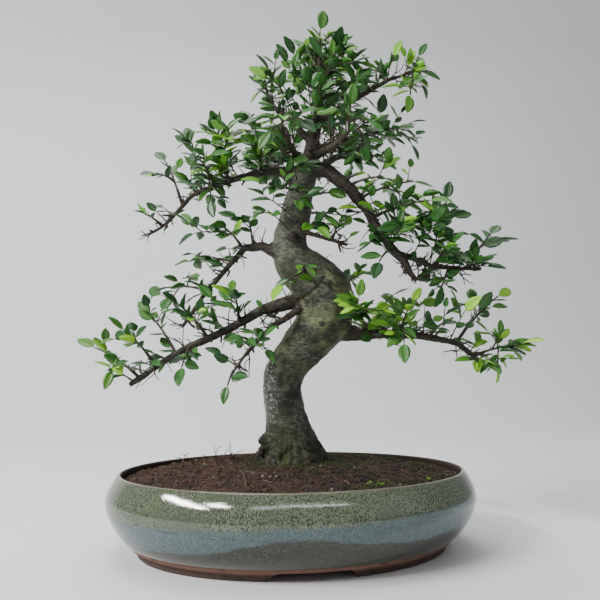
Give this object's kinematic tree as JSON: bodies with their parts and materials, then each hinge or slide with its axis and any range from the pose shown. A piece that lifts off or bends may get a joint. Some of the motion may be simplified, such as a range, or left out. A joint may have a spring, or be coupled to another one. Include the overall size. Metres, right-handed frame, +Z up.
{
  "type": "chinese elm bonsai",
  "caption": "Potted bonsai elm: a tree with a curved trunk, bare limbs and pads of small serrate leaves, in soil in an oval glazed pot on low feet.",
  "frame": {"origin": "on the surface that the pot stands on, under the middle of the whole object's box", "axes": "+Z up, +X along the pot's long axis to the right as the picture shows it, +Y away from the viewer"},
  "size_m": [0.467, 0.3178, 0.5851],
  "materials": {
    "glaze": "glossy olive and blue-grey speckled glaze",
    "soil": "damp brown peaty compost",
    "bark": "smooth dark olive-grey bark with fine cross wrinkles",
    "leaf": "glossy dark green leaf",
    "young_leaf": "light yellow-green young leaf",
    "mesh_plastic": "black plastic mesh"
  },
  "bodies": {
    "root": {"drain_screen_left": "mesh_plastic", "drain_screen_right": "mesh_plastic", "pot": "glaze", "soil": "soil", "spray_back_left_1": "leaf", "spray_back_left_2": "leaf", "spray_back_low_1": "leaf", "spray_back_low_2": "leaf", "spray_back_right_1": "leaf", "spray_back_right_2": "leaf", "spray_crown_front_left_1": "leaf", "spray_crown_front_right_1": "leaf", "spray_crown_left_1": "leaf", "spray_crown_left_2": "leaf", "spray_crown_left_3": "leaf", "spray_crown_low_right_1": "leaf", "spray_crown_low_right_2": "leaf", "spray_crown_right_1": "leaf", "spray_crown_right_2": "leaf", "spray_crown_right_3": "young_leaf", "spray_front_left_1": "leaf", "spray_front_left_2": "leaf", "spray_leader_1": "leaf", "spray_leader_2": "leaf", "spray_leader_3": "leaf", "spray_leader_4": "leaf", "spray_leader_5": "leaf", "spray_lower_left_1": "leaf", "spray_lower_left_2": "leaf", "spray_lower_left_3": "leaf", "spray_lower_left_4": "leaf", "spray_lower_left_5": "leaf", "spray_lower_left_6": "young_leaf", "spray_lower_right_1": "young_leaf", "spray_lower_right_2": "young_leaf", "spray_lower_right_3": "young_leaf", "spray_lower_right_4": "leaf", "spray_lower_right_5": "leaf", "spray_lower_right_6": "young_leaf", "spray_middle_left_1": "leaf", "spray_middle_left_2": "leaf", "spray_middle_left_3": "leaf", "spray_middle_left_4": "leaf", "spray_right_stub_1": "young_leaf", "spray_trunk_front_1": "young_leaf", "spray_upper_left_1": "leaf", "spray_upper_left_2": "young_leaf", "spray_upper_left_3": "leaf", "spray_upper_left_4": "leaf", "spray_upper_left_5": "leaf", "spray_upper_left_6": "leaf", "spray_upper_right_1": "young_leaf", "spray_upper_right_2": "young_leaf", "spray_upper_right_3": "young_leaf", "spray_upper_right_4": "leaf", "spray_upper_right_5": "leaf", "spray_upper_right_fork_1": "leaf", "spray_upper_right_fork_2": "leaf", "spray_upper_right_fork_3": "leaf", "trunk_and_limbs": "bark"}
  },
  "joints": []
}
